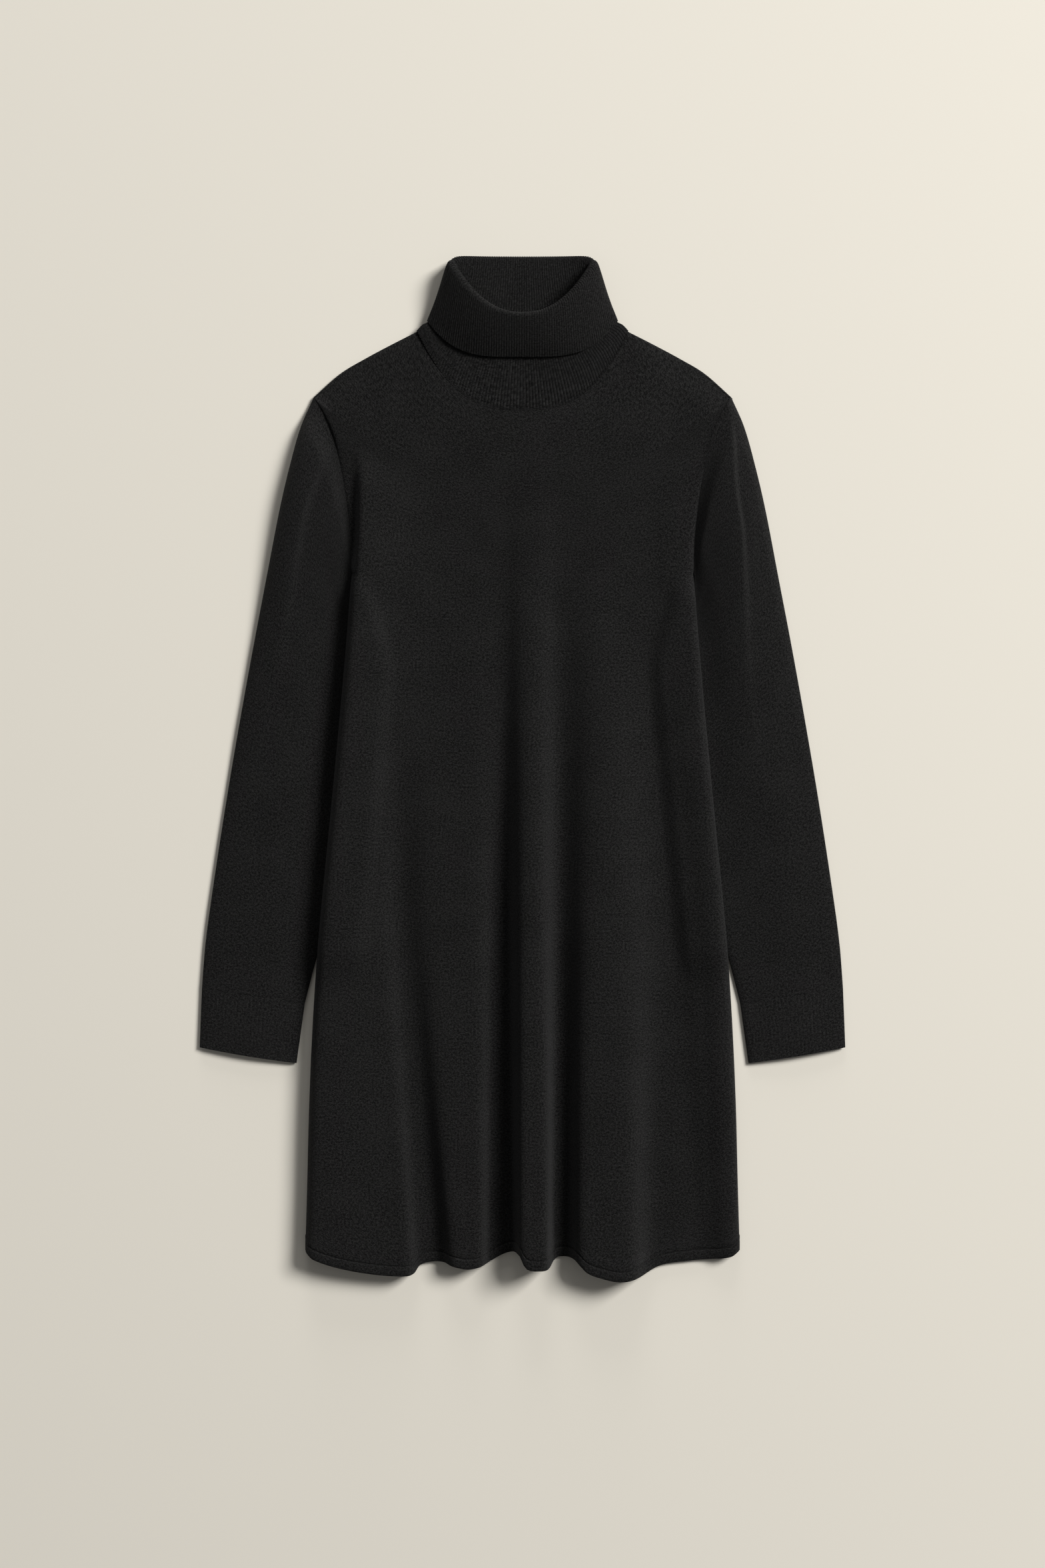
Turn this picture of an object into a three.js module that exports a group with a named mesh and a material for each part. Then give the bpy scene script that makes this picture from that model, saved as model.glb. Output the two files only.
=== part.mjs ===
// A long-sleeved knitted dress with a roll neck, laid on its back on a flat surface, its skirt in soft folds.
// Millimetres. +X is the viewer's right, +Y runs to the neck and +Z is up from the surface that it lies on.
import * as THREE from "three";

// A table as a list of rows, each with its values under the columns' names
const table = (columns, rows) =>
  rows.map((row) => Object.fromEntries(columns.map((name, i) => [name, row[i]])));

// Cloth
const cloth = 2.0; // thickness of the knit
const seamGap = 0.3; // left between two pieces at a seam
const seamLip = 0.5; // thickness of a panel's edge where it meets another at a seam
const hemTurn = { height: 9.5, step: 0.9, extra: 0.5 }; // turned-up hem: its height, edge and thickness

// Levels up the body
const level = { hem: -462, hip: -90, waist: 60, bust: 185, yoke: 300 };

// Side seam from the hem to the armpit: half of the body's width, and its height above what the back lies on
const sideSeam = table(
  ["y", "half", "rim"],
  [
    [-462, 205.0, 5.2],
    [-400, 203.4, 5.0],
    [-306, 201.0, 4.6],
    [-218, 196.8, 3.8],
    [-155, 192.0, 3.6],
    [-35, 180.4, 3.6],
    [60, 171.4, 3.6],
    [120, 166.2, 3.4],
    [160, 163.2, 3.0],
    [185, 161.6, 2.6],
  ],
);

// Armhole seam from the armpit to the tip of the shoulder, seen from above
const armholeSeam = table(
  ["s", "x", "y"],
  [
    [0.0, 161.6, 185],
    [0.18, 162.4, 215],
    [0.36, 165.4, 246],
    [0.54, 170.0, 277],
    [0.7, 175.4, 303],
    [0.82, 181.4, 322],
    [0.92, 189.4, 339],
    [1.0, 197.2, 351.5],
  ],
);
const armholeLength = 175;
const shoulderRim = 4.6; // height of the shoulder seam above the surface
const armholeLoft = { low: 5.4, high: 11, from: 0.25, over: 0.5 }; // upper face along the armhole

// Shoulder seam from its tip to the neck
const shoulderSeam = table(
  ["s", "x", "y"],
  [
    [0.0, 197.2, 351.5],
    [0.25, 172.6, 373.4],
    [0.5, 149.0, 387.6],
    [0.75, 124.6, 400.6],
    [1.0, 99.6, 413.2],
  ],
);

// Sleeve: its inner and outer edges from the armhole to the cuff, the height of the ridge along its top and
// its place on each sleeve, and the place across it where it comes out from under the body
const sleeve = table(
  ["t", "innerX", "innerY", "outerX", "outerY", "ridge", "leftRidge", "rightRidge", "clear"],
  [
    [0.0, 161.6, 185, 197.2, 351.5, 11.0, 0.84, 0.76, 0.0],
    [0.05, 163.9, 166, 209.2, 324, 13.4, 0.84, 0.74, 0.06],
    [0.12, 163.6, 146, 219.4, 288, 14.6, 0.83, 0.7, 0.12],
    [0.2, 151.6, 119, 229.4, 245, 14.4, 0.82, 0.64, 0.2],
    [0.3, 142.6, 86, 240.6, 187, 13.4, 0.8, 0.58, 0.3],
    [0.42, 141.4, 40, 253.4, 120, 11.6, 0.76, 0.54, 0.32],
    [0.55, 149.4, -16, 266.8, 46, 10.0, 0.7, 0.52, 0.28],
    [0.68, 164.0, -73, 279.2, -27, 9.0, 0.66, 0.54, 0.2],
    [0.82, 181.6, -134, 291.4, -106, 8.2, 0.6, 0.54, 0.12],
    [0.92, 195.4, -181, 299.2, -163, 7.8, 0.56, 0.52, 0.05],
    [1.0, 205.6, -220.4, 302.6, -206, 7.2, 0.5, 0.5, 0.05],
  ],
);
const cuffEnd = { innerX: 215.4, innerY: -275.2, outerX: 304.4, outerY: -264.4, ridge: 6.8, bow: 1.6 };
const cuffRibs = { count: 27, plainSteps: 6, proud: 0.35 }; // on the upper face; the lower one is plain
const sleeveRim = { inner: 2.5, outer: 3.6 }; // heights of the folded edges of a sleeve
const sleeveFlat = 4.9; // top of the sleeve where its two layers lie together
const sleeveCurl = { inner: 8, outer: 11 }; // how far its folded edges round away
const sleeveInset = 3.2; // from its folded edge to the hollow inside
const ridgeBeyond = 1.15; // where the ridge would reach the level of the flat cloth, past the outer edge
const bowFade = 0.2; // the part of the sleeve over which the curve of the armhole dies out

// Front of the body between its folds: the height of its upper face
const frontBase = table(
  ["y", "top"],
  [
    [-462, 4.9],
    [-90, 5.2],
    [60, 5.8],
    [185, 6.4],
    [300, 7.0],
    [420, 7.4],
  ],
);
const bodyCurl = 13; // how far the side and shoulder edges round away
// Soft roll of the front beside each side seam: where it begins and is full, and its rise at each level
const sideRoll = {
  left: { from: 64, to: 14, rise: [3, 4, 5, 5, 3] },
  right: { from: 30, to: 12, rise: [4, 2, 0, 0, 0] },
};
const tuck = { from: 52, to: 35, low: -205, lowOver: 40, highOver: 32 }; // lift of the body over the sleeves
const neckSwell = { rise: 2.7, from: 0.4 }; // the front's rise towards the collar

// Folds of the skirt. left and right are the middles of a fold's flanks at the hem, hip and bust,
// rise its height over the cloth beside it at the hem, hip, waist, bust and yoke, reach half of each flank.
const folds = table(
  ["name", "left", "right", "rise", "reach"],
  [
    ["left panel", [-290, -290, -290], [-94, -125, -132], [13, 9, 5, 1.5, 0], [9, 6.5]],
    ["second fold", [-69, -104, -112], [-36, -35, -30], [13, 7, 3.5, 1, 0], [7, 6]],
    ["centre fold", [-12, -6, -1], [29.5, 27.5, 21], [25, 22, 14, 4, 0], [8, 2.4]],
    ["right fold", [48, 53, 58], [114, 110, 92], [21, 18, 12, 3.5, 0], [7.5, 12]],
    ["right panel", [176, 155, 134], [290, 290, 290], [2, 5, 7, 8, 4], [3, 6]],
  ],
);
const loosening = 2.2; // how much softer a fold's flanks are at the bust than at the hem

// Hem of the front, seen from above
const frontHem = table(
  ["x", "y"],
  [
    [-205, -453],
    [-196, -460],
    [-172, -468],
    [-140, -474],
    [-108, -475.5],
    [-92, -470],
    [-76, -464.5],
    [-50, -469],
    [-34, -465],
    [-16, -455.5],
    [-4, -455],
    [4, -465],
    [15, -468],
    [27, -464.5],
    [42, -459.5],
    [62, -472],
    [92, -480],
    [112, -476],
    [132, -467],
    [160, -463],
    [196, -459],
    [205, -453],
  ],
);
const backHem = { middle: -452, corner: -453 };
const hemFade = { to: -402, over: 60 }; // where the curve of the hem dies out up the body

// Neckline: the depths of the front and back necks, and how squarely each turns at the shoulder
const neck = { front: 337.4, back: 398, frontTurn: 2.8, backTurn: 3 };

// Middle surface of the roll collar, ring by ring from the neckline up to its fold and down to its free edge.
// half is a ring's half width, front, side and back its places up the body, z... its heights there,
// arch how flatly its front is arched, turn and backTurn how squarely it turns in front and behind.
const collar = table(
  ["at", "half", "front", "side", "back", "zFront", "zSide", "zBack", "arch", "turn", "backTurn"],
  [
    ["seam", 98.7, 338.8, 414.6, 399.4, 8.8, 5.0, 1.0, 0.3, 2.8, 3],
    ["low stand", 94.4, 364, 418.4, 408, 11.4, 6.4, 2.4, 0.45, 3.0, 4],
    ["stand", 84.0, 392, 427, 421, 14.6, 8.4, 4.6, 0.6, 3.2, 6],
    ["fold inside", 67.4, 429.4, 470, 480.4, 27.6, 10.2, 4.6, 0.9, 2.1, 14],
    ["fold", 69.0, 431.8, 475, 483.6, 30.6, 9.6, 2.8, 0.9, 2.1, 16],
    ["fold outside", 71.4, 429.2, 470, 480.4, 33.0, 9.2, 1.0, 0.9, 2.1, 14],
    ["roll", 80.6, 406, 444, 446, 25.4, 8.6, 1.0, 0.78, 3.0, 8],
    ["edge", 89.2, 389.6, 422.4, 424, 18.6, 7.8, 1.0, 0.66, 3.8, 6],
  ],
);
const collarRibs = { front: 86, back: 64, depth: 0.7 };

// Steps of the meshes
const skirtRows = [-415, -360, -300, -240, -196, -164, -100, -30, 50, 110, 153];
const armholeSteps = [0, 0.025, 0.08, 0.2, 0.36, 0.52, 0.67, 0.8, 0.91, 0.975, 1];
const shoulderRows = [0.33, 0.67, 1];
const shoulderShare = 0.6; // how far the body's rows have gone to the neckline at the shoulder's tip
const edgeColumns = [0, 1, 3.5, 8, 13, 35, 52]; // distances in from a side seam
const backColumns = [...edgeColumns, 110];

const knitBlack = new THREE.MeshStandardMaterial({ color: 0x1d1d1e, roughness: 0.95, metalness: 0 });
const ribBlack = new THREE.MeshStandardMaterial({ color: 0x19191a, roughness: 0.95, metalness: 0 });

const clamp01 = (v) => Math.min(1, Math.max(0, v));
const ease = (v) => clamp01(v) ** 2 * (3 - 2 * clamp01(v));
const mix = (a, b, t) => a + (b - a) * t;
// Quarter of an ellipse: 0 at an edge and 1 from reach inwards
const rounding = (distance, reach) => Math.sqrt(1 - (1 - clamp01(distance / reach)) ** 2);
// Smooth hump: 1 in its middle and 0 from 1 outwards
const hump = (d) => (Math.abs(d) < 1 ? (1 - d * d) ** 2 : 0);

// Smooth curve through one column of a table, read at a place along the table's first column
function read(table, key, column, at) {
  const last = table.length - 1;
  const up = table[last][key] > table[0][key] ? table : [...table].reverse();
  const place = Math.min(Math.max(at, up[0][key]), up[last][key]);
  let i = 0;
  while (i < last - 1 && up[i + 1][key] < place) i++;
  const slope = (a, b) => (up[b][column] - up[a][column]) / (up[b][key] - up[a][key]);
  const before = i > 0 ? slope(i - 1, i + 1) : slope(i, i + 1);
  const after = i + 2 <= last ? slope(i, i + 2) : slope(i, i + 1);
  const span = up[i + 1][key] - up[i][key];
  const t = (place - up[i][key]) / span;
  const start = (2 * t ** 3 - 3 * t ** 2 + 1) * up[i][column] + (t ** 3 - 2 * t ** 2 + t) * span * before;
  const end = (3 * t ** 2 - 2 * t ** 3) * up[i + 1][column] + (t ** 3 - t ** 2) * span * after;
  return start + end;
}

// A list's value at a height of the body: one value for each named level, from the hem up
const levelTables = new Map();
function atLevel(values, y) {
  const levels = values.length === 3 ? [level.hem, level.hip, level.bust] : Object.values(level);
  if (!levelTables.has(values)) {
    levelTables.set(values, levels.map((at, i) => ({ y: at, value: values[i] })));
  }
  return read(levelTables.get(values), "y", "value", y);
}

// How far a fold's flanks reach at a height of the body
const flankReach = (reach, y) =>
  reach * mix(1, loosening, ease((y - level.hem) / (level.bust - level.hem)));

// Height of the front's folds at a point of the skirt
function foldHeight(x, y) {
  return folds.reduce((sum, fold) => {
    const rising = Math.tanh((x - atLevel(fold.left, y)) / flankReach(fold.reach[0], y));
    const falling = Math.tanh((x - atLevel(fold.right, y)) / flankReach(fold.reach[1], y));
    return sum + (atLevel(fold.rise, y) * (rising - falling)) / 2;
  }, 0);
}

// 1 over the tucked edge of a sleeve and 0 in the middle of the body, by the distance in from the side
const nearSide = (inset) => ease((tuck.from - inset) / (tuck.from - tuck.to));

// Lift of the body over the tucked edge of a sleeve
function tuckLift(x, y) {
  const along = ease((y - tuck.low) / tuck.lowOver) * ease((level.bust - y) / tuck.highOver);
  return (sleeveFlat + seamGap) * along * nearSide(read(sideSeam, "y", "half", y) - Math.abs(x));
}

// Height of the armhole seam's upper and lower faces and of the parting between them,
// s from the armpit to the tip of the shoulder
function armholeHeights(s) {
  const rim = mix(sleeveRim.inner, shoulderRim, s);
  const curl = mix(sleeveCurl.inner, sleeveCurl.outer, s);
  const open = rounding(Math.min(s, 1 - s) * armholeLength, curl);
  const loft = mix(armholeLoft.low, armholeLoft.high, ease((s - armholeLoft.from) / armholeLoft.over));
  const lip = seamGap / 2 + seamLip;
  return {
    top: mix(rim + lip, loft, open),
    parting: mix(rim, cloth + seamGap, open),
    bottom: mix(rim - lip, 0, open),
  };
}

// Rows of the front and back, from the hem to the neckline. Each has its edge, and how far it has gone
// from the straight line at the bust to the curve of the neckline.
function bodyRows() {
  const hemRows = [0, hemTurn.height, hemTurn.height + hemTurn.step].map((up) => ({ y: level.hem, up }));
  const skirt = [...hemRows, ...skirtRows.map((y) => ({ y, up: 0 }))].map(({ y, up }) => {
    const half = read(sideSeam, "y", "half", y);
    const rim = read(sideSeam, "y", "rim", y) + tuckLift(half, y);
    const turned = y === level.hem && up <= hemTurn.height;
    const hemShare = clamp01((hemFade.to - y) / hemFade.over);
    return { half, edgeY: y, up, rim, toNeck: 0, hemShare, turned, seam: "side" };
  });
  const armhole = armholeSteps.map((s) => ({
    half: read(armholeSeam, "s", "x", s) - seamGap / 2,
    edgeY: read(armholeSeam, "s", "y", s),
    toNeck: shoulderShare * s,
    rim: armholeHeights(s).parting,
    heights: armholeHeights(s),
    seam: "armhole",
  }));
  const shoulder = shoulderRows.map((s) => ({
    half: read(shoulderSeam, "s", "x", s),
    edgeY: read(shoulderSeam, "s", "y", s),
    toNeck: mix(shoulderShare, 1, s),
    rim: shoulderRim,
    seam: "shoulder",
  }));
  return [...skirt, ...armhole, ...shoulder];
}

// Place up the body of a row at x, for a neckline of the given depth and turn
function rowY(row, x, neckDepth, neckTurn, hemAt) {
  if (row.seam === "side") return row.edgeY + row.up + row.hemShare * (hemAt(x) - level.hem);
  const middle = mix(level.bust, neckDepth, row.toNeck);
  const turn = mix(2, neckTurn, row.toNeck);
  return row.edgeY - (row.edgeY - middle) * (1 - Math.abs(x / row.half) ** turn);
}

// Across the front, a row's places follow the flanks and crests of the folds
function frontPlaces(row) {
  const shrink = Math.min(1, row.half / read(sideSeam, "y", "half", level.bust));
  const y = Math.min(row.edgeY, level.bust);
  const flanks = folds.flatMap((fold) =>
    ["left", "right"].flatMap((side, i) => {
      const middle = atLevel(fold[side], y);
      if (Math.abs(middle) > row.half / shrink) return [];
      const reach = flankReach(fold.reach[i], y);
      return [-1, 0, 1].map((step) => middle + step * reach);
    }),
  );
  const crests = folds.slice(1, -1).map((fold) => (atLevel(fold.left, y) + atLevel(fold.right, y)) / 2);
  const widest = row.half / shrink;
  const edges = edgeColumns.map((d) => widest - d);
  const clear = widest - bodyCurl;
  const within = [...flanks, ...crests].map((x) => Math.max(-clear, Math.min(x, clear)));
  const places = [...edges, ...edges.map((x) => -x), ...within].sort((a, b) => a - b);
  return spread(places.map((x) => x * shrink), 0.8 * shrink);
}
function backPlaces(row) {
  const shrink = Math.min(1, row.half / read(sideSeam, "y", "half", level.bust));
  const edges = backColumns.map((d) => row.half - d * shrink);
  return [...edges.map((x) => -x), ...edges.reverse()];
}

// Moves sorted places apart to at least a least distance, outer ones kept
function spread(places, least) {
  const moved = [...places];
  const middle = Math.floor(moved.length / 2);
  for (let i = 1; i <= middle; i++) moved[i] = Math.max(moved[i], moved[i - 1] + least);
  for (let i = moved.length - 2; i > middle; i--) moved[i] = Math.min(moved[i], moved[i + 1] - least);
  return moved;
}

// Level at which the front and back part, from the seams inwards
function parting(row, x, y) {
  const inside = restLift(row, x, y) + cloth + seamGap / 2;
  return mix(row.rim, inside, rounding(row.half - Math.abs(x), bodyCurl));
}
const restLift = (row, x, y) => (row.seam === "side" ? tuckLift(x, y) : 0);

// Height of the front's roll at a distance in from a side seam
function rollHeight(x, y, inset) {
  const { from, to, rise } = x < 0 ? sideRoll.left : sideRoll.right;
  return atLevel(rise, y) * ease((from - inset) / (from - to));
}

// Upper face of the front: its folds and swells, rounded down to its seams
function frontTop(row, x, y) {
  const inset = row.half - Math.abs(x);
  const neckAt = ease((row.toNeck - neckSwell.from) / (1 - neckSwell.from)) * (1 - (x / row.half) ** 2);
  const swell = restLift(row, x, y) + rollHeight(x, y, inset) + neckSwell.rise * neckAt;
  const full = read(frontBase, "y", "top", y) + foldHeight(x, Math.min(y, level.yoke)) + swell;
  const edge = row.seam === "armhole" ? row.heights.top : row.rim + seamGap / 2 + seamLip;
  return mix(edge, full, rounding(inset, bodyCurl)) + (row.turned ? hemTurn.extra : 0);
}

// Inner face of the front, a cloth's thickness in from the upper one, square to it on the folds' flanks
function frontInside(row, x, y) {
  const slope = foldHeight(x + 0.5, Math.min(y, level.yoke)) - foldHeight(x - 0.5, Math.min(y, level.yoke));
  const drop = cloth * Math.hypot(1, slope) + (row.turned ? 2 * hemTurn.extra : 0);
  return Math.max(frontTop(row, x, y) - drop, parting(row, x, y) + seamGap / 2);
}

// Under face of the back: flat on the surface, lifted over the sleeves and rounded up to its seams
function backUnder(row, x, y) {
  const edge = row.seam === "armhole" ? row.heights.bottom : row.rim - seamGap / 2 - seamLip;
  return mix(edge, restLift(row, x, y), rounding(row.half - Math.abs(x), bodyCurl));
}
const backInside = (row, x, y) => Math.min(backUnder(row, x, y) + cloth, parting(row, x, y) - seamGap / 2);

// Closed solid under construction, from lines of points and the strips of triangles between them
class Solid {
  points = [];
  triangles = [];
  line(points) {
    return points.map((p) => this.points.push(p) - 1);
  }
  // Strip between line a and line b, which has as many points as a, or every second one of them
  strip(a, b, closed) {
    const open = closed ? 0 : 1;
    const share = Math.round((a.length - open) / (b.length - open));
    for (let j = 0; j < b.length - open; j++) {
      const next = b[(j + 1) % b.length];
      const run = Array.from({ length: share + 1 }, (_, k) => a[(j * share + k) % a.length]);
      for (let k = 0; k < share; k++) this.triangles.push(run[k], run[k + 1], b[j]);
      this.triangles.push(run[share], next, b[j]);
    }
  }
  // The same strip with its faces turned the other way
  backStrip(a, b, closed) {
    const start = this.triangles.length;
    this.strip(a, b, closed);
    const turned = this.triangles.splice(start);
    for (let i = 0; i < turned.length; i += 3) this.triangles.push(turned[i], turned[i + 2], turned[i + 1]);
  }
  mesh(name, material) {
    const geometry = new THREE.BufferGeometry();
    geometry.setAttribute("position", new THREE.Float32BufferAttribute(this.points.flat(), 3));
    geometry.setIndex(this.triangles);
    geometry.computeVertexNormals();
    const mesh = new THREE.Mesh(geometry, material);
    mesh.name = name;
    return mesh;
  }
}

// Wall between an upper and a lower sheet of points, closed all round its edge
function sheetWall(name, material, upper, lower) {
  const solid = new Solid();
  const top = upper.map((row) => solid.line(row));
  const bottom = lower.map((row) => solid.line(row));
  for (let i = 0; i + 1 < top.length; i++) {
    solid.strip(top[i], top[i + 1], false);
    solid.backStrip(bottom[i], bottom[i + 1], false);
  }
  const last = top.length - 1;
  const side = (sheet, end) => sheet.map((row) => row.at(end));
  solid.backStrip(top[0], bottom[0], false);
  solid.strip(top[last], bottom[last], false);
  solid.strip(side(top, 0), side(bottom, 0), false);
  solid.backStrip(side(top, -1), side(bottom, -1), false);
  return solid.mesh(name, material);
}

// Wall of a tube between outer and inner rings, closed at both ends
function tubeWall(name, material, outer, inner) {
  const solid = new Solid();
  const out = outer.map((ring) => solid.line(ring));
  const hollow = inner.map((ring) => solid.line(ring));
  const join = (a, b, turned) => {
    const [many, few, swapped] = a.length >= b.length ? [a, b, turned] : [b, a, !turned];
    if (swapped) solid.backStrip(many, few, true);
    else solid.strip(many, few, true);
  };
  for (let i = 0; i + 1 < out.length; i++) {
    join(out[i], out[i + 1], false);
    join(hollow[i], hollow[i + 1], true);
  }
  join(out[0], hollow[0], true);
  join(out.at(-1), hollow.at(-1), false);
  return solid.mesh(name, material);
}

// Front and back, cut whole from the hem to the shoulders and neckline
function bodyPanel(name, places, neckline, hemAt, outside, inside) {
  const sheet = (height) =>
    bodyRows().map((row) =>
      places(row).map((x) => {
        const y = rowY(row, x, neckline.depth, neckline.turn, hemAt);
        return [x, y, height(row, x, y)];
      }),
    );
  const [upper, lower] = [sheet(outside), sheet(inside)];
  const [top, bottom] = outside === backUnder ? [lower, upper] : [upper, lower];
  return sheetWall(name, knitBlack, top, bottom);
}
function frontPanel() {
  const hemAt = (x) => read(frontHem, "x", "y", x);
  const neckline = { depth: neck.front, turn: neck.frontTurn };
  return bodyPanel("front_panel", frontPlaces, neckline, hemAt, frontTop, frontInside);
}
function backPanel() {
  const hemAt = (x) => mix(backHem.middle, backHem.corner, Math.abs(x) / sideSeam[0].half);
  const neckline = { depth: neck.back, turn: neck.backTurn };
  return bodyPanel("back_panel", backPlaces, neckline, hemAt, backUnder, backInside);
}

// Place on a sleeve at s across it from its inner to its outer edge, seen from above
function sleevePlace(row, s) {
  const chord = [mix(row.innerX, row.outerX, s), mix(row.innerY, row.outerY, s)];
  const [first] = sleeve;
  const bow = 1 - ease(row.t / bowFade);
  const x = chord[0] + bow * (read(armholeSeam, "s", "x", s) - mix(first.innerX, first.outerX, s));
  const y = chord[1] + bow * (read(armholeSeam, "s", "y", s) - mix(first.innerY, first.outerY, s));
  return [x + (seamGap / 2) * bow, y];
}

// Heights of a sleeve's upper and lower faces at s across it
function sleeveHeights(row, s) {
  const width = Math.hypot(row.outerX - row.innerX, row.outerY - row.innerY);
  const inner = rounding(s * width, sleeveCurl.inner);
  const outer = rounding((1 - s) * width, sleeveCurl.outer);
  const spreadTo = s < row.ridgeAt ? row.ridgeAt - row.clear : ridgeBeyond - row.ridgeAt;
  const crown = sleeveFlat + (row.ridge - sleeveFlat) * hump((s - row.ridgeAt) / spreadTo);
  const rim = mix(sleeveRim.inner, mix(shoulderRim, sleeveRim.outer, ease(row.t / bowFade)), s);
  const open = Math.min(inner, outer);
  const along = armholeHeights(s);
  const atSeam = 1 - ease(row.t / sleeve[1].t);
  const part = mix(rim, cloth + seamGap, open);
  return {
    top: mix(mix(rim, crown, open), along.top, atSeam),
    parting: mix(part, along.parting, atSeam),
    bottom: mix(mix(rim, 0, open), along.bottom, atSeam),
  };
}

// Ring round a sleeve: over the top from its inner to its outer edge, and back below.
// face is how far out from the sleeve's own face it runs, or null for the hollow inside.
function sleeveRing(row, steps, side, face, stepsBelow = steps) {
  const width = Math.hypot(row.outerX - row.innerX, row.outerY - row.innerY);
  const inset = face === null ? sleeveInset / width : 0;
  const point = (s, height) => {
    const [x, y] = sleevePlace(row, s);
    return [side * x, y + (row.bowed ?? 0) * (1 - (2 * s - 1) ** 2), height];
  };
  const over = steps.map((step) => {
    const s = mix(inset, 1 - inset, step);
    const { top, parting: part } = sleeveHeights(row, s);
    if (step === 0 || step === 1) return point(s, part);
    return point(s, face === null ? Math.max(top - cloth, part + seamGap / 2) : top + face(step));
  });
  const under = stepsBelow.slice(1, -1).map((step) => {
    const s = mix(inset, 1 - inset, step);
    const { bottom, parting: part } = sleeveHeights(row, s);
    return point(s, face === null ? Math.min(bottom + cloth, part - seamGap / 2) : bottom);
  });
  const ring = [...over, ...under.reverse()];
  return side < 0 ? ring : ring.reverse();
}

// Rows of one sleeve, with the place of its own ridge
const sleeveRows = (side) =>
  sleeve.map((row) => ({ ...row, ridgeAt: side < 0 ? row.leftRidge : row.rightRidge }));

function sleeveTube(name, side) {
  const plain = () => 0;
  const outer = sleeveRows(side).map((row) => sleeveRing(row, armholeSteps, side, plain));
  const inner = sleeveRows(side).map((row) => sleeveRing(row, armholeSteps, side, null));
  return tubeWall(name, knitBlack, outer, inner);
}

// Ribbed cuff: two ribs' points for each step, their tops standing a little proud of the sleeve
function cuffTube(name, side) {
  const top = sleeveRows(side).at(-1);
  const [dx, dy] = [cuffEnd.innerX - top.innerX, cuffEnd.innerY - top.innerY];
  const gap = seamGap / Math.hypot(dx, dy);
  const rows = [gap, 0.08, 1].map((t) => ({
    t: 1,
    innerX: mix(top.innerX, cuffEnd.innerX, t),
    innerY: mix(top.innerY, cuffEnd.innerY, t),
    outerX: mix(top.outerX, cuffEnd.outerX, t),
    outerY: mix(top.outerY, cuffEnd.outerY, t),
    ridge: mix(top.ridge, cuffEnd.ridge, t),
    ridgeAt: top.ridgeAt,
    clear: top.clear,
    bowed: -cuffEnd.bow * t,
    ribbed: t > gap,
  }));
  const evenSteps = (count) => Array.from({ length: count + 1 }, (_, i) => i / count);
  const [above, below] = [evenSteps(2 * cuffRibs.count), evenSteps(2 * cuffRibs.plainSteps)];
  const crestOrTrough = (step) => (Math.round(step * 2 * cuffRibs.count) % 2 ? 1 : -1);
  const rib = (row) => (step) => (row.ribbed ? cuffRibs.proud * crestOrTrough(step) : 0);
  const every2nd = (steps) => steps.filter((_, i) => i % 2 === 0);
  const outer = rows.map((row) => sleeveRing(row, above, side, rib(row), below));
  const inner = rows.map((row) => sleeveRing(row, every2nd(above), side, null, every2nd(below)));
  return tubeWall(name, ribBlack, outer, inner);
}

// Points of one ring of the collar's middle surface, its front ribs and then its back ribs evenly spaced
function collarRing(ring) {
  const place = (angle, front) => {
    const q = Math.cos(angle);
    const depth = 1 - Math.abs(q) ** (front ? ring.turn : ring.backTurn);
    const [y, z] = front ? [ring.front, ring.zFront] : [ring.back, ring.zBack];
    const crown = front ? (1 - q * q) ** (ring.arch / 2) : 1 - Math.abs(q) ** 4;
    return new THREE.Vector3(ring.half * q, mix(ring.side, y, depth), mix(ring.zSide, z, crown));
  };
  const evenly = (front, count) => {
    const fine = Array.from({ length: 721 }, (_, i) => place((Math.PI * i) / 720, front));
    if (!front) fine.reverse();
    const run = [0];
    for (let i = 1; i < fine.length; i++) run.push(run[i - 1] + fine[i].distanceTo(fine[i - 1]));
    return Array.from({ length: count }, (_, k) => {
      const want = (run.at(-1) * k) / count;
      const i = run.findIndex((length) => length > want);
      return fine[i - 1].clone().lerp(fine[i], (want - run[i - 1]) / (run[i] - run[i - 1]));
    });
  };
  return [...evenly(true, 2 * collarRibs.front), ...evenly(false, 2 * collarRibs.back)];
}

// Roll collar: its stand rises from the neckline, folds over and comes down outside. Its inner face, which
// the fold brings outwards, and the foot of its stand are ribbed.
function rollCollar() {
  const middle = collar.map(collarRing);
  const count = middle[0].length;
  const offset = (i, j, away) => {
    const along = middle[i][(j + 1) % count].clone().sub(middle[i][(j + count - 1) % count]);
    const up = middle[Math.min(i + 1, middle.length - 1)][j].clone().sub(middle[Math.max(i - 1, 0)][j]);
    const p = middle[i][j].clone().addScaledVector(up.cross(along).normalize(), away);
    return [p.x, p.y, Math.max(p.z, 0)];
  };
  const face = (i, outward, ribbed) => {
    const all = Array.from({ length: count }, (_, j) => j);
    const rib = (j) => (ribbed ? (collarRibs.depth / 2) * (j % 2 ? -1 : 1) : 0);
    const used = all.filter((j) => ribbed || j % 2 === 0);
    return used.map((j) => offset(i, j, outward * (cloth / 2 + rib(j))));
  };
  const shown = middle.map((_, i) => face(i, -1, i > 1));
  const hidden = middle.map((_, i) => face(i, 1, i < 3));
  return tubeWall("roll_collar", ribBlack, shown, hidden);
}

const dress = new THREE.Group();
dress.add(
  frontPanel(),
  backPanel(),
  sleeveTube("left_sleeve", -1),
  sleeveTube("right_sleeve", 1),
  cuffTube("left_cuff", -1),
  cuffTube("right_cuff", 1),
  rollCollar(),
);
const box = new THREE.Box3().setFromObject(dress);
dress.position.y = -box.getCenter(new THREE.Vector3()).y; // the origin is the middle of the box's underside
export default dress;
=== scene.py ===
import math

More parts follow.
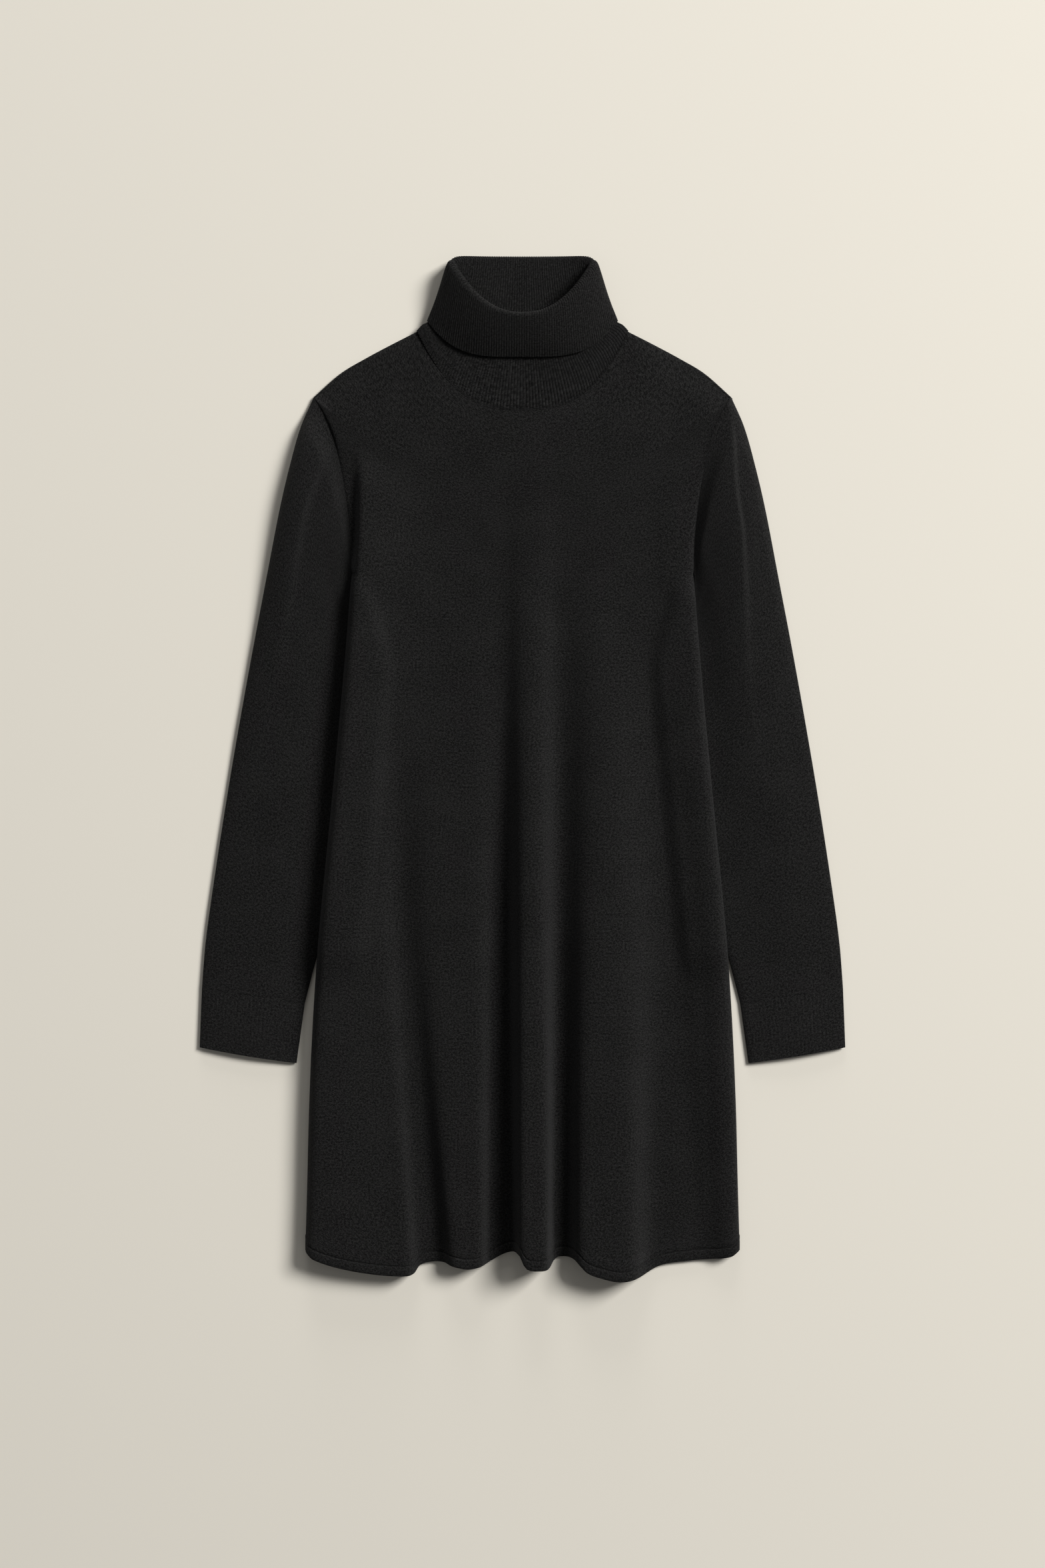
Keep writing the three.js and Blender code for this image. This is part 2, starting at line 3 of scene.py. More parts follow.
import bmesh
import bpy
import numpy as np
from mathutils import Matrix, Vector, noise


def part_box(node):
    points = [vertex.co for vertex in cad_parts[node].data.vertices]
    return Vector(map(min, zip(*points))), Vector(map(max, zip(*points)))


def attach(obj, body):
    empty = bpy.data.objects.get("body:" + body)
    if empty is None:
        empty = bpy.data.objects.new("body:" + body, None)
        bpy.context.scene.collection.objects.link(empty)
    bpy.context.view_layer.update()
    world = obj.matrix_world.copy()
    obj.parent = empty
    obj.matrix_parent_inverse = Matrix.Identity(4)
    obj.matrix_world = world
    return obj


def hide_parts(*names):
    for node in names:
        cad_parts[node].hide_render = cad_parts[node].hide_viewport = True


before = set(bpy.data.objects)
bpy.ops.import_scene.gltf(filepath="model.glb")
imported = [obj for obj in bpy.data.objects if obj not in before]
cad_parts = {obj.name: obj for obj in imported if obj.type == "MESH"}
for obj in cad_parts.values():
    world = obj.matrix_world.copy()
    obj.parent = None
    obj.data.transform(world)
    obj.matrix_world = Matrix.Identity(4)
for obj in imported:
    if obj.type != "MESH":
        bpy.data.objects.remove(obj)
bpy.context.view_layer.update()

# The dress lies on its back on a plain pale surface, in soft studio light from the upper right. The camera
# looks straight down on it.
mm = 0.001
collar_top = 485.0 * mm
# The part's source centres the dress on its box, which moves it down by this much.
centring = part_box("roll_collar")[1][1] - collar_top

view_height = 2.6
frame_tall = 1.482
frame_middle_y = -0.0135
sensor = 36.0
camera_data = bpy.data.cameras.new("camera")
camera_data.sensor_fit = "VERTICAL"
camera_data.sensor_height = sensor
camera_data.sensor_width = sensor
camera_data.lens = sensor * view_height / frame_tall
camera_data.clip_end = 20
camera = bpy.data.objects.new("camera", camera_data)
camera.location = (0, frame_middle_y + centring, view_height)
bpy.context.collection.objects.link(camera)
bpy.context.scene.camera = camera

floor_bm = bmesh.new()
bmesh.ops.create_grid(floor_bm, x_segments=2, y_segments=2, size=6)
floor_mesh = bpy.data.meshes.new("floor")
floor_bm.to_mesh(floor_mesh)
floor_bm.free()
floor = bpy.data.objects.new("floor", floor_mesh)
bpy.context.collection.objects.link(floor)
floor_paint = bpy.data.materials.new("pale paper")
floor_paint.use_nodes = True
floor_shader = floor_paint.node_tree.nodes["Principled BSDF"]
floor_shader.inputs["Base Color"].default_value = (0.72, 0.69, 0.62, 1)
floor_shader.inputs["Roughness"].default_value = 0.9
floor_mesh.materials.append(floor_paint)


def soft_box(name, place, size, power, colour):
    """A square studio light that looks at the middle of the dress."""
    data = bpy.data.lights.new(name, "AREA")
    data.shape = "SQUARE"
    data.size = size
    data.energy = power
    data.color = colour
    lamp = bpy.data.objects.new(name, data)
    lamp.location = place
    lamp.rotation_euler = (-Vector(place)).to_track_quat("-Z", "Y").to_euler()
    bpy.context.collection.objects.link(lamp)


soft_box("key", (6.2, 4.0, 5.8), 3.4, 1195, (1.0, 0.985, 0.96))
soft_box("upper", (-0.3, 9.0, 1.9), 3.2, 260, (1.0, 0.99, 0.97))
world = bpy.data.worlds.new("studio")
world.use_nodes = True
world.node_tree.nodes["Background"].inputs["Color"].default_value = (1.0, 0.99, 0.97, 1)
world.node_tree.nodes["Background"].inputs["Strength"].default_value = 0.15
bpy.context.scene.world = world
bpy.context.scene.view_settings.view_transform = "Standard"

# Front of the body: one panel of fine jersey from the turned-up hem to the shoulders, flared below the bust,
# so that its spare width lies in soft folds on the back. It is sewn at the sides, armholes, shoulders and
# neckline.
# Lengths are in millimetres, and heights are above the surface. A table is read along its first column.
cloth = 2.0
# Places up the dress where the values of the folds and side rolls are given.
level = {"hem": -462, "hip": -90, "waist": 60, "bust": 185, "yoke": 300}
# Up the side: half the width of the dress, and how high the edge of the front lies.
side_seam = {
    "y": [-462, -400, -306, -218, -155, -35, 60, 120, 160, 185],
    "half": [205.0, 203.4, 201.0, 196.8, 192.0, 180.4, 171.4, 166.2, 163.2, 161.6],
    "rim": [5.2, 5.0, 4.6, 3.8, 3.6, 3.6, 3.6, 3.4, 3.0, 2.5],
}
# The armhole from the armpit to the tip of the shoulder, and the shoulder seam from there to the neck.
armhole_seam = {
    "s": [0.0, 0.18, 0.36, 0.54, 0.7, 0.82, 0.92, 1.0],
    "x": [161.6, 162.4, 165.4, 170.0, 175.4, 181.4, 189.4, 197.2],
    "y": [185, 215, 246, 277, 303, 322, 339, 351.5],
}
shoulder_seam = {
    "s": [0.0, 0.25, 0.5, 0.75, 1.0],
    "x": [197.2, 172.6, 149.0, 124.6, 99.6],
    "y": [351.5, 373.4, 387.6, 400.6, 413.2],
}
# Height of the front between its folds.
front_base = {"y": [-462, -90, 60, 185, 270, 330, 420], "top": [4.9, 5.2, 5.8, 7.0, 8.6, 8.8, 7.0]}
# Each fold, from left to right: its flanks at hem, hip and bust, its rise at each level, and how far
# each flank reaches. Flanks grow softer towards the bust, up to this many times.
folds = [
    {"left": [-290, -290, -290], "right": [-102, -127, -132], "rise": [14, 9, 5, 1.5, 0], "reach": [9, 4.2]},
    {"left": [-71, -104, -112], "right": [-35, -34, -29], "rise": [16, 8, 3.5, 1, 0], "reach": [5.5, 3.8]},
    {"left": [-5, -8, -8], "right": [26, 25, 24], "rise": [28, 23, 15, 5, 0], "reach": [2.8, 2.8]},
    {"left": [48, 49.5, 55], "right": [112, 110, 92], "rise": [22, 20, 15, 3.5, 0], "reach": [5, 8]},
    {"left": [173, 152, 134], "right": [290, 290, 290], "rise": [2, 6.5, 8, 4, 0], "reach": [6, 6]},
]
loosening = 3.2
# Soft swelling beside each side seam, measured inwards from it, with its rise at each level.
side_rolls = {
    "left": {"from": 84, "to": 8, "rise": [3, 8, 11, 10, 6]},
    "right": {"from": 30, "to": 12, "rise": [4, 2, 0, 0, 0]},
}
# Line of the front hem, which waves where the folds end.
front_hem = {
    "x": [-205, -196, -172, -140, -112, -102, -97, -88, -74, -66, -50, -34, -16, -3, 1, 5, 15, 26, 30, 34,
          48, 54, 60, 70, 92, 112, 132, 160, 196, 205],
    "y": [-453, -460, -468, -474, -475.8, -474, -467.5, -464.3, -464, -466.5, -469, -465, -456, -455, -463,
          -467.4, -468.6, -467, -462, -459.4, -460, -465, -471, -475.4, -480, -476, -467, -463, -459, -453],
}
front_neck = {"y": 337.8, "turn": 2.8}
armpit_turn = 2
front_waves = {"size": 34, "strength": 0.55, "seed": 3.7}
shoulder_rim, neck_rim = 3.0, 4.6
body_curl, top_curl = 13, 9
shoulder_roll = {"reach": 17, "steepness": 1.35, "lip": 3, "lip_share": 0.2, "from": 0.8, "over": 0.2}
shoulder_roll_end = {"from": 0.74, "over": 0.2}
side_roll_end = {"from": 0.3, "over": 0.24}
armhole_length = 175
armhole_loft = {"low": 5.4, "left": 5.8, "right": 11.0, "from": 0.25, "over": 0.5}
shelf_step = 0.6
# Low strip beside the left armhole: its inner border, how fully it is lowered and how soft its step is.
left_shelf = {
    "s": [0.0, 0.1, 0.36, 0.54, 0.7, 0.82, 0.9, 1.0],
    "inset": [3.0, 4.5, 10.0, 15.0, 20.5, 26.0, 30.0, 34.0],
    "share": [0.4, 1.0, 1.0, 1.0, 0.8, 0.3, 0.0, 0.0],
    "reach": [2.4, 2.4, 2.6, 3.2, 5.0, 8.0, 10.0, 10.0],
}
sleeve_rim = {"inner": 2.5, "outer": 3.6}
sleeve_flat, sleeve_curl = 4.9, {"inner": 8, "outer": 11}
# The sides are lifted by the sleeves under them, from the armpit down, this far in from the side seam.
tuck = {"from": 52, "to": 35, "low": -205, "low_over": 40, "high_over": 24, "narrow": 27, "narrow_over": 95}
seam_gap = 0.3
hem_turn, hem_extra, hem_turn_over = 9.5, 0.3, 0.8
hem_groove, hem_groove_width = 0.9, 0.7
hem_lip, hem_lip_width = 1.0, 0.9
hem_levels = {
    "turned": [0, 0.7, 1.8, 3.4, 5.4, 7.4, 8.5, 9.1, 9.5, 9.9, 10.5, 11.8, 14],
    "plain": [0, 3, 8, 14],
}
above_hem = 18
body_steps = {"side": 162, "armhole": 48, "shoulder": 19}
front_columns, fine_places = 176, 1201
# How much closer the columns stand at the side seams, on the flanks of folds and at the low strip.
crowding = {"side": 2.6, "side_over": 7, "fold": 2.4, "fold_over": 1.7, "shelf": 1.6, "shelf_over": 5}
crowding_full = {"rise": 8, "reach": 6}
hem_fade = {"to": -402, "over": 60}
shoulder_share = 0.6
neck_swell = {"rise": 2.7, "from": 0.4}
seam_dip, seam_width = 0.3, 1.1
neck_seam_away = 190
weld = 0.00001


def clamp01(v):
    return np.clip(v, 0.0, 1.0)


def ease(v):
    v = clamp01(v)
    return v * v * (3 - 2 * v)


def mix(a, b, t):
    return a + (b - a) * t


def rounding(distance, reach):
    """Quarter of an ellipse: 0 at an edge and 1 from reach inwards."""
    return np.sqrt(1 - (1 - clamp01(distance / reach)) ** 2)


def read(table, key, column, at):
    """Smooth curve through one column of a table, read along another column."""
    keys, values = np.array(table[key], float), np.array(table[column], float)
    if keys[-1] < keys[0]:
        keys, values = keys[::-1], values[::-1]
    at = np.clip(at, keys[0], keys[-1])
    slopes = np.empty_like(values)
    slopes[1:-1] = (values[2:] - values[:-2]) / (keys[2:] - keys[:-2])
    slopes[0] = (values[1] - values[0]) / (keys[1] - keys[0])
    slopes[-1] = (values[-1] - values[-2]) / (keys[-1] - keys[-2])
    i = np.clip(np.searchsorted(keys, at, side="left") - 1, 0, len(keys) - 2)
    span = keys[i + 1] - keys[i]
    t = (at - keys[i]) / span
    start = (2 * t**3 - 3 * t**2 + 1) * values[i] + (t**3 - 2 * t**2 + t) * span * slopes[i]
    return start + (3 * t**2 - 2 * t**3) * values[i + 1] + (t**3 - t**2) * span * slopes[i + 1]


def at_level(values, y):
    """A list's value at a height of the body, with one value for each level from the hem up."""
    levels = [level["hem"], level["hip"], level["bust"]] if len(values) == 3 else list(level.values())
    return read({"y": levels, "value": values}, "y", "value", y)


def flank_reach(reach, y):
    return reach * mix(1, loosening, ease((y - level["hem"]) / (level["bust"] - level["hem"])))


def fold_height(x, y):
    total = np.zeros_like(x)
    for fold in folds:
        rising = np.tanh((x - at_level(fold["left"], y)) / flank_reach(fold["reach"][0], y))
        falling = np.tanh((x - at_level(fold["right"], y)) / flank_reach(fold["reach"][1], y))
        total = total + at_level(fold["rise"], y) * (rising - falling) / 2
    return total


def near_side(inset, y):
    narrowing = tuck["narrow"] * (1 - ease((level["bust"] - y) / tuck["narrow_over"]))
    return ease((tuck["from"] - narrowing - inset) / (tuck["from"] - tuck["to"]))


def tuck_lift(x, y):
    along = ease((y - tuck["low"]) / tuck["low_over"]) * ease((level["bust"] - y) / tuck["high_over"])
    return (sleeve_flat + seam_gap) * along * near_side(read(side_seam, "y", "half", y) - np.abs(x), y)


def armhole_heights(s, side):
    """Heights of the armhole seam's upper and lower faces, s from the armpit to the tip of the shoulder."""
    high = np.where(side < 0, armhole_loft["left"], armhole_loft["right"])
    rim = mix(sleeve_rim["inner"], shoulder_rim, s)
    curl = mix(sleeve_curl["inner"], sleeve_curl["outer"], s)
    open_ = rounding(np.minimum(s, 1 - s) * armhole_length, curl)
    loft = mix(armhole_loft["low"], high, ease((s - armhole_loft["from"]) / armhole_loft["over"]))
    return mix(rim, loft, open_), mix(rim, 0, open_)


def body_rows(turned):
    """Rows up the front or back, each with its half width and how far it has gone to the neckline's curve."""
    rows = [{"y": level["hem"], "up": up} for up in hem_levels["turned" if turned else "plain"]]
    above = np.linspace(level["hem"] + above_hem, level["bust"], body_steps["side"])[:-1]
    rows += [{"y": y, "up": 0.0} for y in above]
    for row in rows:
        row["half"] = float(read(side_seam, "y", "half", row["y"]))
        row["rim"] = float(read(side_seam, "y", "rim", row["y"]) + tuck_lift(row["half"], row["y"]))
        row["to_neck"] = 0.0
        row["hem_share"] = float(clamp01((hem_fade["to"] - row["y"]) / hem_fade["over"]))
        row["seam"] = "side"
    for s in (1 - np.cos(np.linspace(0, math.pi, body_steps["armhole"]))) / 2:
        half, y = float(read(armhole_seam, "s", "x", s)), float(read(armhole_seam, "s", "y", s))
        rows.append({"half": half, "y": y, "s": s, "to_neck": shoulder_share * s, "seam": "armhole"})
    for s in np.linspace(0, 1, body_steps["shoulder"])[1:]:
        half, y = float(read(shoulder_seam, "s", "x", s)), float(read(shoulder_seam, "s", "y", s))
        rows.append({"half": half, "y": y, "rim": mix(shoulder_rim, neck_rim, s * s),
                     "to_neck": mix(shoulder_share, 1, s), "seam": "shoulder"})
    return rows


def row_y(row, x, neck, hem_table):
    """Places along the dress for a row: the hem's line, or a bow that sinks to the neckline's curve."""
    if row["seam"] == "side":
        return row["y"] + row["up"] + row["hem_share"] * (read(hem_table, "x", "y", x) - level["hem"])
    middle = mix(level["bust"], neck["y"], row["to_neck"])
    turn = mix(armpit_turn, neck["turn"], row["to_neck"])
    return row["y"] - (row["y"] - middle) * (1 - np.abs(x / row["half"]) ** turn)


def seam_dip_at(distance):
    """Small dip of a panel's face towards a seam."""
    return seam_dip * np.exp(-((distance / seam_width) ** 2))


def cloth_object(name, columns, rows, points, cloth_uv, closed, thickness, face_up):
    """A grid of cloth bent to the given points in millimetres, with its cloth map, thickened inwards."""
    bm = bmesh.new()
    bmesh.ops.create_grid(bm, x_segments=columns, y_segments=rows, size=1)
    places = [(round((v.co.x + 1) / 2 * columns), round((v.co.y + 1) / 2 * rows)) for v in bm.verts]
    uv_layer = bm.loops.layers.uv.new("cloth")
    for v, (column, row) in zip(bm.verts, places):
        x, y, z = points[row][column]
        v.co = (x * mm, y * mm + centring, z * mm)
        for loop in v.link_loops:
            loop[uv_layer].uv = cloth_uv[row][column]
    if closed:
        bmesh.ops.remove_doubles(bm, verts=bm.verts, dist=weld)
    for edge in bm.edges:
        edge.smooth = not edge.is_boundary
    bm.normal_update()
    middle = sum((f.normal.z * f.calc_area() for f in bm.faces if f.normal.z * face_up > 0), 0.0)
    away = sum((f.normal.z * f.calc_area() for f in bm.faces if f.normal.z * face_up < 0), 0.0)
    if not closed and abs(away) > abs(middle):
        bmesh.ops.reverse_faces(bm, faces=bm.faces)
    if closed and bm.calc_volume(signed=True) < 0:
        bmesh.ops.reverse_faces(bm, faces=bm.faces)
    mesh = bpy.data.meshes.new(name)
    bm.to_mesh(mesh)
    bm.free()
    mesh.shade_smooth()
    piece = bpy.data.objects.new(name, mesh)
    bpy.context.collection.objects.link(piece)
    wall = piece.modifiers.new("cloth", "SOLIDIFY")
    wall.thickness = thickness * mm
    wall.offset = -1
    wall.use_rim = True
    return piece


def cloth_map(points):
    """Places on the flat cloth in metres: along each row from its middle, and up the middle of the rows."""
    points = np.array(points)
    steps = np.linalg.norm(np.diff(points, axis=1), axis=2)
    across = np.concatenate([np.zeros((len(points), 1)), np.cumsum(steps, axis=1)], axis=1)
    across -= across[:, across.shape[1] // 2][:, None]
    rises = np.linalg.norm(np.diff(points.mean(axis=1), axis=0), axis=1)
    up = np.concatenate([[0], np.cumsum(rises)])
    return np.stack([across, np.repeat(up[:, None], across.shape[1], axis=1)], axis=2) * mm


def front_places(row, columns):
    """Places across a row, closer together on the flanks of the folds and at the side seams."""
    shrink = min(1.0, row["half"] / side_seam["half"][-1])
    y = min(row["y"], level["bust"])
    fine = np.linspace(-row["half"], row["half"], fine_places)
    density = 1 + crowding["side"] * np.exp(-(row["half"] - np.abs(fine)) / (crowding["side_over"] * shrink))
    for fold in folds:
        weight = float(clamp01(at_level(fold["rise"], y) / crowding_full["rise"]))
        for side, reach in zip(("left", "right"), fold["reach"]):
            spread = crowding["fold_over"] * flank_reach(reach, y) * shrink
            middle = at_level(fold[side], y) * shrink
            near = np.exp(-(((fine - middle) / spread) ** 2))
            density += crowding["fold"] * weight * near * min(1.0, crowding_full["reach"] / reach)
    if row["seam"] == "armhole":
        at = float(read(left_shelf, "s", "inset", row["s"]))
        near = np.exp(-(((fine + row["half"] - at) / crowding["shelf_over"]) ** 2))
        density += crowding["shelf"] * math.sin(math.pi * row["s"]) * near
    run = np.concatenate([[0], np.cumsum((density[1:] + density[:-1]) / 2)])
    return np.interp(np.linspace(0, run[-1], columns + 1), run, fine)


def side_roll(x, y, inset):
    left, right = side_rolls["left"], side_rolls["right"]
    at_left = at_level(left["rise"], y) * ease((left["from"] - inset) / (left["from"] - left["to"]))
    at_right = at_level(right["rise"], y) * ease((right["from"] - inset) / (right["from"] - right["to"]))
    return np.where(x < 0, at_left, at_right)


def ease_from(table, v):
    """Eases from 0 to 1, starting at a table's from and taking its over."""
    return ease((v - table["from"]) / table["over"])


def front_top(row, x, y):
    """Heights of the front's upper face along a row."""
    inset = row["half"] - np.abs(x)
    up_to_neck = ease((row["to_neck"] - neck_swell["from"]) / (1 - neck_swell["from"]))
    neck_at = up_to_neck * (1 - (x / row["half"]) ** 2)
    lift = tuck_lift(x, y) if row["seam"] == "side" else 0.0
    roll = side_roll(x, y, inset) * (1 - ease_from(side_roll_end, row["to_neck"]))
    swell = lift + roll + neck_swell["rise"] * neck_at
    full = read(front_base, "y", "top", y) + fold_height(x, np.minimum(y, level["yoke"])) + swell
    sloping = 1 - (1 - clamp01(inset / shoulder_roll["reach"])) ** shoulder_roll["steepness"]
    over_edge = mix(sloping, rounding(inset, shoulder_roll["lip"]), shoulder_roll["lip_share"])
    if row["seam"] == "armhole":
        edge, _ = armhole_heights(row["s"], x)
        shelf = {name: float(read(left_shelf, "s", name, row["s"])) for name in ("inset", "share", "reach")}
        below = shelf["share"] * (1 - np.tanh((inset - shelf["inset"]) / shelf["reach"])) / 2
        full = np.where(x < 0, mix(full, armhole_loft["left"] + shelf_step, below), full)
        open_ = mix(rounding(inset, top_curl), over_edge, ease_from(shoulder_roll, row["s"]))
        height = mix(edge, full, open_) - seam_dip_at(inset)
    else:
        towards_neck = 1.0 if row["seam"] == "side" else ease_from(shoulder_roll_end, row["to_neck"])
        open_ = mix(over_edge, rounding(inset, top_curl), towards_neck)
        height = mix(row["rim"], full, open_)
    if row["to_neck"] > shoulder_share:
        height = height - seam_dip_at((1 - row["to_neck"]) * neck_seam_away)
    if row["seam"] == "side" and row["y"] == level["hem"]:
        fold_back = hem_extra * clamp01((hem_turn - row["up"]) / hem_turn_over)
        groove = hem_groove * math.exp(-(((row["up"] - hem_turn) / hem_groove_width) ** 2))
        lip = hem_lip * math.exp(-((row["up"] / hem_lip_width) ** 2))
        height = height + fold_back - groove - lip
    return height


def soft_unevenness(points, size, strength, seed):
    """Slight waviness of relaxed knit, up and down, longer along the dress than across it."""
    for row in points:
        for p in row:
            p[2] += strength * noise.noise(Vector((p[0] / size, p[1] / (2.2 * size), seed)))


front_rows = body_rows(True)
front_points = []
for row in front_rows:
    x = front_places(row, front_columns)
    y = row_y(row, x, front_neck, front_hem)
    front_points.append(np.stack([x, y, front_top(row, x, y)], axis=1))
soft_unevenness(front_points, **front_waves)
front = cloth_object("front", front_columns, len(front_rows) - 1, front_points, cloth_map(front_points),
                     False, cloth, 1)


def step_node(tree, kind, *values, **options):
    """A node with its inputs set: a number, a colour or another node's output for each, in order."""
    node = tree.nodes.new("ShaderNode" + kind)
    for key, value in options.items():
        setattr(node, key, value)
    for socket, value in zip(node.inputs, values):
        if isinstance(value, bpy.types.NodeSocket):
            tree.links.new(value, socket)
        elif value is not None:
            socket.default_value = value
    return node


def sum_of(tree, operation, *values):
    return step_node(tree, "Math", *values, operation=operation).outputs[0]


stitches = {"across": 640.0, "up": 840.0}
stitch_slant, stitch_share = 1.1, 0.6
noise_scales = {"fibres": 1150.0, "haze": 520.0, "cloud": 26.0}


def knit_group():
    """Fine plain knit: columns of V-shaped stitches under the loose fibres of a brushed wool yarn."""
    tree = bpy.data.node_groups.new("fine knit", "ShaderNodeTree")
    tree.interface.new_socket("Cloth", in_out="INPUT", socket_type="NodeSocketVector")
    for name in ("Stitches across", "Stitches up", "Fuzz"):
        tree.interface.new_socket(name, in_out="INPUT", socket_type="NodeSocketFloat")
    for name in ("Height", "Melange", "Cloudiness"):
        tree.interface.new_socket(name, in_out="OUTPUT", socket_type="NodeSocketFloat")
    inputs = tree.nodes.new("NodeGroupInput").outputs
    split = step_node(tree, "SeparateXYZ", inputs["Cloth"])
    across = sum_of(tree, "MULTIPLY", split.outputs[0], inputs["Stitches across"])
    along = sum_of(tree, "MULTIPLY", split.outputs[1], inputs["Stitches up"])
    from_wale = sum_of(tree, "PINGPONG", across, 0.5)
    leg = sum_of(tree, "SINE", sum_of(tree, "MULTIPLY", from_wale, 2 * math.pi))
    slanted = sum_of(tree, "ADD", along, sum_of(tree, "MULTIPLY", from_wale, stitch_slant))
    wave = sum_of(tree, "SINE", sum_of(tree, "MULTIPLY", slanted, 2 * math.pi))
    loop = sum_of(tree, "MULTIPLY_ADD", wave, 0.3, 0.7)
    stitch = sum_of(tree, "MULTIPLY", leg, loop)
    fibres = step_node(tree, "TexNoise", inputs["Cloth"], None, noise_scales["fibres"], 3.0, 0.7).outputs[0]
    haze = step_node(tree, "TexNoise", inputs["Cloth"], None, noise_scales["haze"], 4.0, 0.6).outputs[0]
    cloud = step_node(tree, "TexNoise", inputs["Cloth"], None, noise_scales["cloud"], 3.0, 0.55).outputs[0]
    fuzzed = sum_of(tree, "MULTIPLY", fibres, inputs["Fuzz"])
    height = sum_of(tree, "ADD", sum_of(tree, "MULTIPLY", stitch, stitch_share), fuzzed)
    melange = sum_of(tree, "MULTIPLY_ADD", haze, 0.45, sum_of(tree, "MULTIPLY", fibres, 0.55))
    outputs = tree.nodes.new("NodeGroupOutput").inputs
    for name, value in (("Height", height), ("Melange", melange), ("Cloudiness", cloud)):
        tree.links.new(value, outputs[name])
    return tree


fine_knit = knit_group()


def knit_material(name, dark, light, fuzz, relief, sheen):
    """Matt black wool knit: a melange of dark yarn, a raised stitch and a soft bloom at grazing angles."""
    material = bpy.data.materials.new(name)
    material.use_nodes = True
    tree = material.node_tree
    shader = tree.nodes["Principled BSDF"]
    cloth_uv = step_node(tree, "UVMap", uv_map="cloth").outputs[0]
    knit = tree.nodes.new("ShaderNodeGroup")
    knit.node_tree = fine_knit
    tree.links.new(cloth_uv, knit.inputs["Cloth"])
    knit.inputs["Stitches across"].default_value = stitches["across"]
    knit.inputs["Stitches up"].default_value = stitches["up"]
    knit.inputs["Fuzz"].default_value = fuzz
    grain = step_node(tree, "MapRange", knit.outputs["Melange"], 0.44, 0.58, 0.0, 1.0).outputs[0]
    patchy = step_node(tree, "MapRange", knit.outputs["Cloudiness"], 0.3, 0.7, -0.08, 0.08).outputs[0]
    tone = sum_of(tree, "ADD", grain, patchy)
    colour = step_node(tree, "Mix", data_type="RGBA")
    tree.links.new(tone, colour.inputs["Factor"])
    colour.inputs[6].default_value = (*dark, 1)
    colour.inputs[7].default_value = (*light, 1)
    tree.links.new(colour.outputs[2], shader.inputs["Base Color"])
    bump = step_node(tree, "Bump", 1.0)
    bump.inputs["Distance"].default_value = relief * mm
    tree.links.new(knit.outputs["Height"], bump.inputs["Height"])
    tree.links.new(bump.outputs[0], shader.inputs["Normal"])
    shader.inputs["Roughness"].default_value = 0.95
    shader.inputs["Specular IOR Level"].default_value = 0.15
    shader.inputs["Sheen Weight"].default_value = sheen
    shader.inputs["Sheen Roughness"].default_value = 0.45
    shader.inputs["Sheen Tint"].default_value = (0.62, 0.62, 0.64, 1)
    return material


jersey = knit_material("brushed black jersey", (0.0004, 0.0004, 0.0004), (0.0186, 0.0185, 0.0185),
                       fuzz=0.6, relief=0.45, sheen=0.06)
front.data.materials.append(jersey)
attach(front, "root")
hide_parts("front_panel")

# Back of the body: the same jersey, cut like the front with a shallow neckline. It lies flat on the surface,
# and its sides are lifted where the sleeves are tucked under them.
back_hem = {"x": [-205, 0, 205], "y": [-453, -452, -453]}
back_neck = {"y": 398.0, "turn": 3}
back_columns, back_crowding = 90, 0.7


def back_under(row, x, y):
    edge = armhole_heights(row["s"], x)[1] if row["seam"] == "armhole" else row["rim"]
    rest = tuck_lift(x, y) if row["seam"] == "side" else 0.0
    return mix(edge, rest, rounding(row["half"] - np.abs(x), body_curl))


back_rows = body_rows(False)[::2]
back_rows[-1] = body_rows(False)[-1]
back_points = []
evenly = np.linspace(-1, 1, back_columns + 1)
for row in back_rows:
    x = row["half"] * mix(evenly, np.sin(evenly * math.pi / 2), back_crowding)
    y = row_y(row, x, back_neck, back_hem)
    back_points.append(np.stack([x, y, back_under(row, x, y)], axis=1))
back = cloth_object("back", back_columns, len(back_rows) - 1, back_points, cloth_map(back_points),
                    False, cloth, -1)
back.data.materials.append(jersey)
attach(back, "root")
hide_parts("back_panel")

